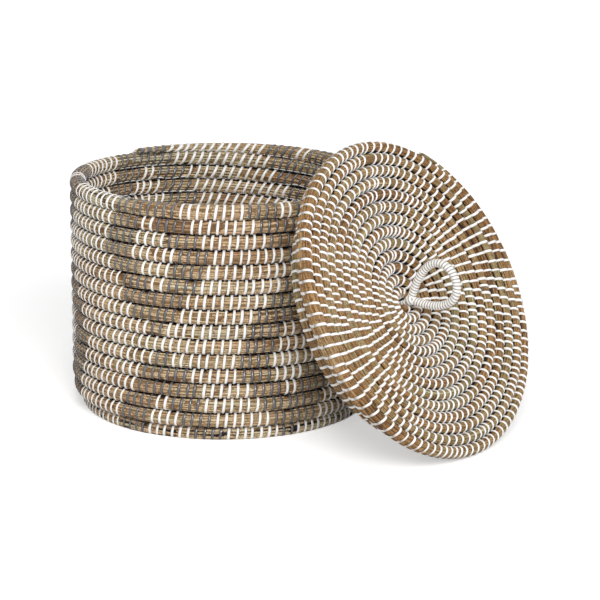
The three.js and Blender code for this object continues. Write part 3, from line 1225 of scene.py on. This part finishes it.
    def _sew_wall(self, strips: dict[StripColour, bpy.types.Material]) -> None:
        """Sews the wall and the base's last turn in both colours.

        Args:
            strips: The materials of the white and of the grey strip.
        """
        per_turn = self.stitches_per_turn
        last = math.floor(self.tail_end * per_turn)
        numbers = np.arange(math.ceil(-per_turn) + 1, last) + self.first_stitch
        chance = np.random.default_rng(11)
        turns = self.sewn_turns(numbers + chance.normal(0, self.stitch_jitter, len(numbers)))
        colours = self.strip_colours(self.sewn_turns(numbers))
        spacing = np.diff(turns, append=turns[-1] + 1 / per_turn) * FULL_TURN * self.centre_radius
        for colour, material in strips.items():
            chosen = colours == colour.value
            name = f"wall_stitches_{colour.name.lower()}"
            stitching = Stitching(name, self.outer_stations, seed=20 + colour.value, floor=0.0)
            mesh = stitching.mesh(turns[chosen], spacing[chosen])
            add_piece(mesh, name, Body.BASKET, material)
        grey = colours == StripColour.GREY.value
        starts = np.flatnonzero(grey[1:] & ~grey[:-1])
        ends = np.flatnonzero(grey[:-1] & ~grey[1:]) + 1
        ends = ends[ends > starts[0]]
        starts = starts[:len(ends)]
        shown = turns[starts] > 0
        carried = CarriedStrip("carried_strip", self.outer_stations, seed=24)
        mesh = carried.mesh(turns[starts][shown] + self.carried_from / per_turn,
                            turns[ends][shown] + self.carried_to / per_turn)
        add_piece(mesh, "carried_strip", Body.BASKET, strips[StripColour.WHITE])

    def _sew_base(self, white: bpy.types.Material) -> None:
        """Sews the rest of the base.

        Args:
            white: The white strip's material.
        """
        turns, spacing = spiral_stitches(
            self.base_start + self.base_margin, self.base_turns - 1, self.row_pitch,
            self.base_stations,
            lambda radius: np.full_like(radius, self.base_spacing), seed=31)
        stitching = Stitching("base_stitches", self.base_stations, seed=32, floor=0.0,
                              rows=Rows.BESIDE, face_lean=3.0)
        mesh = stitching.mesh(turns, spacing)
        add_piece(mesh, "base_stitches", Body.BASKET, white)


def gaps_after(share: Array) -> Array:
    """Gaps from each place on a circle to the next one, as shares of the circle."""
    return np.diff(np.append(share, share[0] + 1))


def evened(share: Array, ease: float = 0.12) -> Array:
    """Moves each place on a circle a little towards the middle of its neighbours."""
    gaps = gaps_after(share)
    return share + ease * (gaps - np.roll(gaps, 1))


def spiral_stitches(first: float, last: float, pitch: float,
                    stations: Callable[[Array], Stations],
                    gap: Callable[[Array], Array], seed: int,
                    drift: float = 3.0) -> tuple[Array, Array]:
    """Places stitches on a flat spiral so that neighbouring rows meet end to end.

    Each row takes over the stitches of the row inside it, set back a little, and gets a few
    more where the gaps are widest; then the gaps are evened out.

    Args:
        first: Turns at the first stitch.
        last: Turns at the last stitch.
        pitch: Distance between rows.
        stations: Places along the bundle.
        gap: The gap wanted between stitches, from the radius.
        seed: Seed of the small chances in the work.
        drift: Millimetres that each row's stitches are set back from those inside it.

    Returns:
        Turns and millimetres to the next stitch, for each stitch.
    """
    chance = np.random.default_rng(seed)
    fewest, evenings, unevenness = 5, 4, 0.06
    share = np.zeros(0)
    turns: list[Array] = []
    spacings: list[Array] = []
    for row in range(math.floor(first), math.ceil(last)):
        radius = max(stations(np.array([row + 0.5])).radius[0], pitch / 2)
        wanted = max(fewest, round(FULL_TURN * radius / gap(np.array([radius]))[0]))
        if len(share) == 0:
            share = np.arange(wanted) / wanted
        share = np.sort((share - drift / (FULL_TURN * radius)) % 1)
        while len(share) < wanted:
            gaps = gaps_after(share) * (1 + chance.normal(0, unevenness, len(share)))
            widest = int(np.argmax(gaps))
            share = evened(np.sort(np.append(share, (share[widest] + gaps[widest] / 2) % 1)))
        for _ in range(evenings):
            share = evened(share)
        share = np.sort(share % 1)
        here = row + share
        kept = (here >= first) & (here < last)
        turns.append(here[kept])
        spacings.append((gaps_after(share) * FULL_TURN * radius)[kept])
    return np.concatenate(turns), np.concatenate(spacings)


@dataclass
class Lid:
    """The leaning lid: a flat spiral, and the two turns of its collar underneath.

    Its own frame has the middle of its edge's bundle at zero height and its top facing up.
    """

    # The dished spiral and the bundle that it is coiled from.
    outer_radius: float = 199.0
    row_pitch: float = 14.2
    row_gap: float = 1.0
    thickness: float = 21.0
    dish: float = 29.0
    dish_power: float = 1.3
    step_start_degrees: float = 16.0
    step_share: float = 0.6
    tail_share: float = 0.36
    tail_narrowing: float = 0.6
    seat_radius: float = 10.4
    heart_radius: float = 4.3
    strip_room: float = 1.0
    # The collar under it.
    collar_radius: float = 160.1
    collar_rows: int = 2
    collar_pitch: float = 17.0
    collar_gap: float = 0.6
    collar_width: float = 16.0
    seat_gap: float = 0.3
    collar_start_degrees: float = -72.0
    collar_step_share: float = 0.4
    collar_tail_share: float = 0.23
    # Faces that blades lie on, as shares of the way round a bundle.
    top_face: Span = (0.35, 0.65)
    edge_face: Span = (0.18, 0.29)
    bottom_face: Span = (0.86, 1.14)
    collar_outer_face: Span = (0.03, 0.44)
    collar_inner_face: Span = (0.56, 0.94)
    # Stitches: how far apart they are, and how many turns of each end have none.
    heart_spacing: float = 8.6
    spacing_growth: float = 3.2
    row_setback: float = 3.2
    collar_spacing: float = 11.5
    end_margins: Span = (0.05, 0.02)
    collar_margin: float = 0.01
    # Where the lid's centre is when it leans, and how it is turned.
    lean_distance: float = 294.85
    lean_height: float = 178.83
    lean_tilt_degrees: float = 62.5
    lean_azimuth_degrees: float = -36.8

    @property
    def cord_width(self) -> float:
        """Width of the lid's bundle."""
        return self.row_pitch - self.row_gap

    @property
    def turns(self) -> float:
        """Turns of the lid's spiral, without its tail."""
        return (self.outer_radius - self.cord_width / 2) / self.row_pitch

    @property
    def tail_end(self) -> float:
        """Turns of the lid's spiral at its tapered end."""
        return self.turns + self.tail_share

    @property
    def heart(self) -> float:
        """Turns of the lid's spiral at its start beside the handle."""
        return self.heart_radius / self.row_pitch

    @property
    def middle_height(self) -> float:
        """Height of the bundle where the handle sits on it, which is the lid's sunk middle."""
        return -float(self.sink(np.array(self.seat_radius)))

    def sink(self, radius: Array) -> Array:
        """How far the dished lid is sunk at a distance from its centre."""
        centre_radius = self.outer_radius - self.cord_width / 2
        return self.dish * np.maximum(0, 1 - radius / centre_radius) ** self.dish_power

    @property
    def lean(self) -> Matrix:
        """From the lid's own frame to the way it leans.

        Returns:
            The move, in millimetres.
        """
        azimuth = math.radians(self.lean_azimuth_degrees)
        place = Vector((self.lean_distance * math.cos(azimuth),
                        self.lean_distance * math.sin(azimuth), self.lean_height))
        tilt = Matrix.Rotation(math.radians(self.lean_tilt_degrees), 4, "Y")
        return Matrix.Translation(place) @ Matrix.Rotation(azimuth, 4, "Z") @ tilt

    def stations(self, turns: Array) -> Stations:
        """Places along the lid's bundle, in the lid's own frame.

        Args:
            turns: Turns of the lid, from its middle.

        Returns:
            The bundle's middle and size at each place.
        """
        inside = spiral_radius(turns - 1, self.turns, self.row_pitch, self.step_share)
        inner_edge = inside + self.cord_width / 2 + self.row_gap
        width = np.clip(self.outer_radius - inner_edge, 1.0, self.cord_width)
        full = spiral_radius(turns, self.turns, self.row_pitch, self.step_share)
        narrowing = self.tail_narrowing + (1 - self.tail_narrowing) * width / self.cord_width
        radius = np.minimum(full, self.outer_radius - width / 2)
        return Stations(
            angle=math.radians(self.step_start_degrees) + FULL_TURN * (turns - self.turns),
            radius=radius,
            height=-self.sink(radius),
            width=width,
            thickness=(self.thickness - 2 * self.strip_room) * narrowing,
        )

    def collar_stations(self, turns: Array) -> Stations:
        """Places along the collar's bundle, in the lid's own frame.

        Args:
            turns: Turns of the collar.

        Returns:
            The bundle's middle and size at each place.
        """
        made = steps_made(turns, self.collar_step_share)
        full = self.collar_pitch - self.collar_gap
        start = self.collar_pitch * made - self.collar_gap
        end = self.collar_pitch * (self.collar_rows + 1 - made) - self.collar_gap
        thickness = np.maximum(np.minimum(full, np.minimum(start, end)), 1.0)
        inner_radius = np.array(self.collar_radius - self.collar_width / 4)
        seat = -self.thickness / 2 - self.seat_gap - self.sink(inner_radius)
        top = seat - self.collar_pitch * np.maximum(0, made - 1)
        narrowing = self.tail_narrowing + (1 - self.tail_narrowing) * thickness / full
        return Stations(
            angle=math.radians(self.collar_start_degrees) + FULL_TURN * turns,
            radius=np.full_like(turns, self.collar_radius),
            height=top - thickness / 2,
            width=self.collar_width * narrowing,
            thickness=thickness,
        )

    def leaned(self, mesh: bpy.types.Mesh) -> bpy.types.Mesh:
        """Moves a mesh from the lid's own frame to where the lid leans, down to the floor.

        Args:
            mesh: The mesh, already in metres.

        Returns:
            The same mesh, moved.
        """
        lean = self.lean
        lean.translation *= METRES
        mesh.transform(lean)
        points = np.empty(len(mesh.vertices) * 3, np.float32)
        mesh.vertices.foreach_get("co", points)
        points[2::3] = np.maximum(points[2::3], 0)
        mesh.vertices.foreach_set("co", points)
        return mesh

    def build(self, grass: bpy.types.Material, blade_grass: bpy.types.Material,
              white: bpy.types.Material) -> None:
        """Builds the lid's bundles and stitches.

        Args:
            grass: The bundles' material.
            blade_grass: The material of the blades that lie on them.
            white: The white strip's material.
        """
        spiral = Bundle("lid_bundle", self.heart, self.tail_end, rings_per_turn=180, sides=20,
                        stations=self.stations, seed=41, fill=0.1, lumps=0.2,
                        rows=Rows.BESIDE, open_from=self.tail_end - 1)
        add_piece(self.leaned(spiral.mesh()), "lid_bundle", Body.LID, grass,
                  ["lid_coil"])
        lid_lanes = (lanes(self.top_face, 6, self.heart, self.tail_end)
                     + lanes(self.bottom_face, 5, self.heart, self.tail_end)
                     + lanes(self.edge_face, 3, self.tail_end - 1, self.tail_end))
        blades = Blades("lid_blades", self.stations, lid_lanes, seed=44, hue_seed=41, overhang=5.0,
                        width=3.5)
        add_piece(self.leaned(blades.mesh()), "lid_blades", Body.LID, blade_grass)
        first = self.collar_step_share - self.collar_tail_share
        last = self.collar_rows + self.collar_tail_share
        collar = Bundle("collar_bundle", first, last, rings_per_turn=200, sides=22,
                        stations=self.collar_stations, seed=43)
        add_piece(self.leaned(collar.mesh()), "collar_bundle", Body.LID, grass,
                  ["lid_collar_coil"])
        collar_lanes = (lanes(self.collar_outer_face, 7, first, last)
                        + lanes(self.collar_inner_face, 6, first, last))
        blades = Blades("collar_blades", self.collar_stations, collar_lanes, seed=45, hue_seed=43,
                        overhang=8.0)
        add_piece(self.leaned(blades.mesh()), "collar_blades", Body.LID,
                  blade_grass)
        self._sew_spiral(white)
        self._sew_collar(white, first, last)

    def _sew_spiral(self, white: bpy.types.Material) -> None:
        """Sews the flat spiral, its stitches closer together near the middle.

        Args:
            white: The white strip's material.
        """
        turns, spacing = spiral_stitches(
            self.heart + self.end_margins[0], self.tail_end - self.end_margins[1],
            self.row_pitch, self.stations,
            lambda radius: self.heart_spacing + self.spacing_growth * radius / self.outer_radius,
            seed=51, drift=self.row_setback)
        stitching = Stitching("lid_stitches", self.stations, seed=52, width=3.5, rise=0.7,
                              face_lean=3.2, rows=Rows.BESIDE)
        mesh = self.leaned(stitching.mesh(turns, spacing))
        add_piece(mesh, "lid_stitches", Body.LID, white)

    def _sew_collar(self, white: bpy.types.Material, first: float, last: float) -> None:
        """Sews the collar.

        Args:
            white: The white strip's material.
            first: Turns at the collar's start.
            last: Turns at its end.
        """
        per_turn = FULL_TURN * self.collar_radius / self.collar_spacing
        turns = np.arange(first + self.collar_margin, last - self.collar_margin, 1 / per_turn)
        stitching = Stitching("collar_stitches", self.collar_stations, seed=53, width=3.4,
                              face_lean=1.5)
        mesh = self.leaned(stitching.mesh(turns, np.full(len(turns), self.collar_spacing)))
        add_piece(mesh, "collar_stitches", Body.LID, white)


@dataclass
class Handle:
    """The teardrop loop of wrapped cord, its root on the lid and its knot beneath."""

    lid: Lid
    # The loop, from the lid's top, and the cord that it is bent from.
    height: float = 85.0
    width: float = 61.0
    cord: float = 10.4
    lean_degrees: float = 5.0
    # The gathered root and the shank through the lid.
    root_radius: float = 7.0
    seat_gap: float = 0.3
    shank_radius: float = 3.4
    shank_reach: float = 0.2
    root_angle: float = 0.3
    # The strip wound round it, and how finely its wraps are shaped.
    wrap_pitch: float = 3.8
    wrap_depth: float = 0.8
    least_radius: float = 0.2
    rings_per_wrap: int = 8
    sides: int = 16
    # The knot beneath the lid.
    knot_radius: float = 9.0
    knot_length: float = 22.0

    @property
    def seat(self) -> float:
        """Height of the lid's top at its sunk middle, in the lid's own frame."""
        return self.lid.middle_height + self.lid.thickness / 2

    @property
    def underside(self) -> float:
        """Height of the lid's underside at its sunk middle."""
        return self.lid.middle_height - self.lid.thickness / 2

    def build(self, white: bpy.types.Material) -> None:
        """Builds the loop, its root and the knot.

        Args:
            white: The wrapping's material.
        """
        add_piece(self.lid.leaned(self._loop()), "handle_wrapping", Body.LID, white,
                  ["handle_loop"])
        add_piece(self.lid.leaned(self._root()), "handle_root", Body.LID, white)
        add_piece(self.lid.leaned(self._knot()), "knot_wrapping", Body.CARRIER, white,
                  ["handle_knot"])

    def _loop(self) -> bpy.types.Mesh:
        """The wrapped loop, a teardrop curve in the lid's own frame.

        Returns:
            The loop's mesh.
        """
        fine = LINE_POINTS
        share = np.linspace(self.root_angle, FULL_TURN - self.root_angle, fine)
        root = self.seat + self.seat_gap + self.root_radius
        top = self.seat + self.height - self.cord / 2
        # The curve's widest place is 4 / sqrt(27) of its reach.
        reach = (self.width - self.cord) / 2 * math.sqrt(27) / 4
        aside = reach * np.sin(share) * np.sin(share / 2)
        risen = (top - root) * (1 - np.cos(share)) / 2
        lean = math.radians(self.lean_degrees)
        line = np.column_stack([aside * math.cos(lean) - risen * math.sin(lean), np.zeros(fine),
                                root + aside * math.sin(lean) + risen * math.cos(lean)])
        return self._wound("handle_wrapping", line, np.full(fine, self.cord / 2), Vector((0, 1, 0)))

    def _root(self) -> bpy.types.Mesh:
        """The gathered wraps where both ends of the loop meet and go down through the lid.

        Returns:
            The root's mesh.
        """
        fine = SHORT_LINE_POINTS
        low, high = self.underside, self.seat + self.seat_gap + 2 * self.root_radius
        height = np.linspace(low, high, fine)
        middle = high - self.root_radius
        ball = np.sqrt(np.maximum(self.root_radius ** 2 - (height - middle) ** 2, 0.01))
        radius = np.where(height < middle, np.maximum(ball, self.shank_radius), ball)
        line = np.column_stack([np.zeros(fine), np.zeros(fine), height])
        return self._wound("handle_root", line, radius, Vector((0, 1, 0)))

    def _knot(self) -> bpy.types.Mesh:
        """The knot beneath the lid, wound about the line that the lid tilts on.

        Returns:
            The knot's mesh.
        """
        fine = SHORT_LINE_POINTS
        half = self.knot_length / 2
        along = np.linspace(-half, half, fine)
        radius = self.knot_radius * np.sqrt(np.maximum(1 - (along / half) ** 2, 0.001))
        height = self.underside - self.shank_reach - self.seat_gap - self.knot_radius
        line = np.column_stack([np.zeros(fine), along, np.full(fine, height)])
        return self._wound("knot_wrapping", line, radius, Vector((1, 0, 0)))

    def _wound(self, name: str, line: Array, radius: Array, side: Vector) -> bpy.types.Mesh:
        """Winds a strip closely along a line.

        Args:
            name: The mesh's name.
            line: Points of the line, in millimetres.
            radius: The wound cord's radius at each of them.
            side: A direction square to the line everywhere.

        Returns:
            The mesh of the wound cord.
        """
        run = summed(np.linalg.norm(np.diff(line, axis=0), axis=1))
        wraps = round(run[-1] / self.wrap_pitch)
        wrap = Wrap(wraps * self.rings_per_wrap, self.sides)
        mesh = wrap.mesh(name)
        along, around = wrap.shares(mesh)
        place = along * run[-1]
        middle = np.column_stack([np.interp(place, run, line[:, axis]) for axis in range(3)])
        tangents = np.gradient(line, run, axis=0)
        tangent = np.column_stack([np.interp(place, run, tangents[:, axis]) for axis in range(3)])
        tangent /= np.linalg.norm(tangent, axis=1)[:, None]
        first = np.array(side)
        second = np.cross(tangent, first)
        turn = FULL_TURN * around
        ridge = np.abs(np.sin(math.pi * (along * wraps + around)))
        full = np.interp(place, run, radius) - self.wrap_depth * (1 - ridge ** 0.5)
        full = np.maximum(full, self.least_radius)
        points = (middle + first * (full * np.cos(turn))[:, None]
                  + second * (full * np.sin(turn))[:, None])
        set_points(mesh, points)
        map_uv(mesh, lambda _, share, turn: share * wraps + turn, lambda _, __, turn: turn)
        return mesh


@dataclass(frozen=True)
class Lamp:
    """One square, soft area lamp that faces the basket; sizes in metres, power in watts."""

    name: str
    place: Place
    size: float
    power: float
    aim: Place = (0.1, -0.1, 0.15)

    def hang(self) -> None:
        """Hangs the lamp in the scene."""
        data = bpy.data.lights.new(self.name, "AREA")
        data.size = self.size
        data.energy = self.power
        lamp = bpy.data.objects.new(self.name, data)
        bpy.context.scene.collection.objects.link(lamp)
        lamp.location = self.place
        facing = Vector(self.aim) - Vector(self.place)
        lamp.rotation_euler = facing.to_track_quat("-Z", "Y").to_euler()


@dataclass
class Studio:
    """Pale floor, soft light and the camera.

    The eye is in millimetres and the floor in metres; its glow grows from near to far.
    """

    lens: float = 163.0
    sensor: float = 36.0
    sight: float = 100.0
    eye: Place = (96.9, -3312.0, 1020.0)
    pitch: float = 0.2633
    roll: float = 0.0052
    floor_half: float = 12.0
    floor_colour: str = "F4F4F4"
    floor_roughness: float = 0.9
    floor_gloss: float = 0.1
    near: float = 0.6
    far: float = 2.2
    near_glow: float = 0.47
    far_glow: float = 1.0
    world_strength: float = 0.33
    lamps: tuple[Lamp, ...] = (
        Lamp("key", (0.4, -3.0, 1.9), size=1.4, power=80.0),
        Lamp("fill", (2.4, -1.8, 1.4), size=1.6, power=8.0),
        Lamp("top", (-0.2, -1.4, 2.8), size=0.9, power=10.0),
    )

    def build(self) -> None:
        """Sets up the floor, the light and the camera."""
        self._camera()
        self._floor()
        self._world()
        for lamp in self.lamps:
            lamp.hang()
        bpy.context.scene.view_settings.view_transform = "Standard"

    def _camera(self) -> None:
        """Places the camera where the photograph was taken from."""
        data = bpy.data.cameras.new("camera")
        data.lens = self.lens
        data.sensor_width = self.sensor
        data.clip_end = self.sight
        camera = bpy.data.objects.new("camera", data)
        bpy.context.scene.collection.objects.link(camera)
        right, up = Vector((1, 0, 0)), Vector((0, math.sin(self.pitch), math.cos(self.pitch)))
        back = right.cross(up)
        rolled_right = math.cos(self.roll) * right + math.sin(self.roll) * up
        rolled_up = -math.sin(self.roll) * right + math.cos(self.roll) * up
        turn = Matrix((rolled_right, rolled_up, back)).transposed()
        camera.matrix_world = Matrix.Translation(Vector(self.eye) * METRES) @ turn.to_4x4()
        bpy.context.scene.camera = camera

    def _floor(self) -> None:
        """A broad flat floor, whose own faint glow lets it run into the white backdrop."""
        bm = bmesh.new()
        bmesh.ops.create_grid(bm, x_segments=1, y_segments=1, size=self.floor_half)
        mesh = bpy.data.meshes.new("floor")
        bm.to_mesh(mesh)
        bm.free()
        floor = bpy.data.objects.new("floor", mesh)
        bpy.context.scene.collection.objects.link(floor)
        mesh.materials.append(self._floor_paint())

    def _floor_paint(self) -> bpy.types.Material:
        """Board rolled with white emulsion: matt, with a soft shadow and no mirror image.

        Returns:
            The material.
        """
        material, tree, shader = new_material(
            "painted studio floor", Base_Color=linear(self.floor_colour),
            Roughness=self.floor_roughness, Specular_IOR_Level=self.floor_gloss)
        seen = add_node(tree, "ShaderNodeLightPath").outputs["Is Camera Ray"]
        place = add_node(tree, "ShaderNodeTexCoord").outputs["Object"]
        away = add_node(tree, "ShaderNodeVectorMath", {"operation": "LENGTH"}, Vector=place)
        level = add_node(tree, "ShaderNodeMapRange", None, Value=away.outputs["Value"],
                         From_Min=self.near, From_Max=self.far, To_Min=self.near_glow,
                         To_Max=self.far_glow)
        strength = add_node(tree, "ShaderNodeMath", {"operation": "MULTIPLY"}, in0=seen,
                            in1=level.outputs["Result"])
        glow = add_node(tree, "ShaderNodeEmission", None, Strength=strength.outputs[0])
        both = add_node(tree, "ShaderNodeAddShader", None, in0=shader.outputs[0],
                        in1=glow.outputs[0])
        output = next(node for node in tree.nodes if node.type == "OUTPUT_MATERIAL")
        tree.links.new(both.outputs[0], output.inputs["Surface"])
        return material

    def _world(self) -> None:
        """An even white world, seen at full strength and lighting the basket with a part of it."""
        world = bpy.data.worlds.new("studio")
        world.use_nodes = True
        tree = world.node_tree
        tree.nodes.clear()
        path = add_node(tree, "ShaderNodeLightPath").outputs
        seen = add_node(tree, "ShaderNodeMath", {"operation": "MAXIMUM"},
                        in0=path["Is Camera Ray"], in1=path["Is Glossy Ray"])
        seen = add_node(tree, "ShaderNodeMath", {"operation": "MAXIMUM"},
                        in0=seen.outputs[0], in1=path["Is Transmission Ray"])
        dim, white = (add_node(tree, "ShaderNodeBackground", None, Color=(1, 1, 1, 1),
                               Strength=strength) for strength in (self.world_strength, 1.0))
        mix = add_node(tree, "ShaderNodeMixShader", None, in0=seen.outputs[0],
                       in1=dim.outputs[0], in2=white.outputs[0])
        add_node(tree, "ShaderNodeOutputWorld", None, Surface=mix.outputs[0])
        bpy.context.scene.world = world


def main() -> None:
    """Builds the studio, the basket, the lid and its handle."""
    logging.basicConfig(level=logging.INFO, format="%(name)s: %(message)s")
    wall_grass, lid_grass, shaded_grass, white, grey, wrapping = (
        finish.material() for finish in (WALL_GRASS, LID_GRASS, SHADED_GRASS, WHITE_STRIP,
                                         GREY_STRIP, WRAPPING_STRIP))
    Studio().build()
    Basket().build(shaded_grass, wall_grass, {StripColour.WHITE: white, StripColour.GREY: grey})
    lid = Lid()
    lid.build(shaded_grass, lid_grass, white)
    Handle(lid).build(wrapping)


if __name__ == "__main__":
    main()
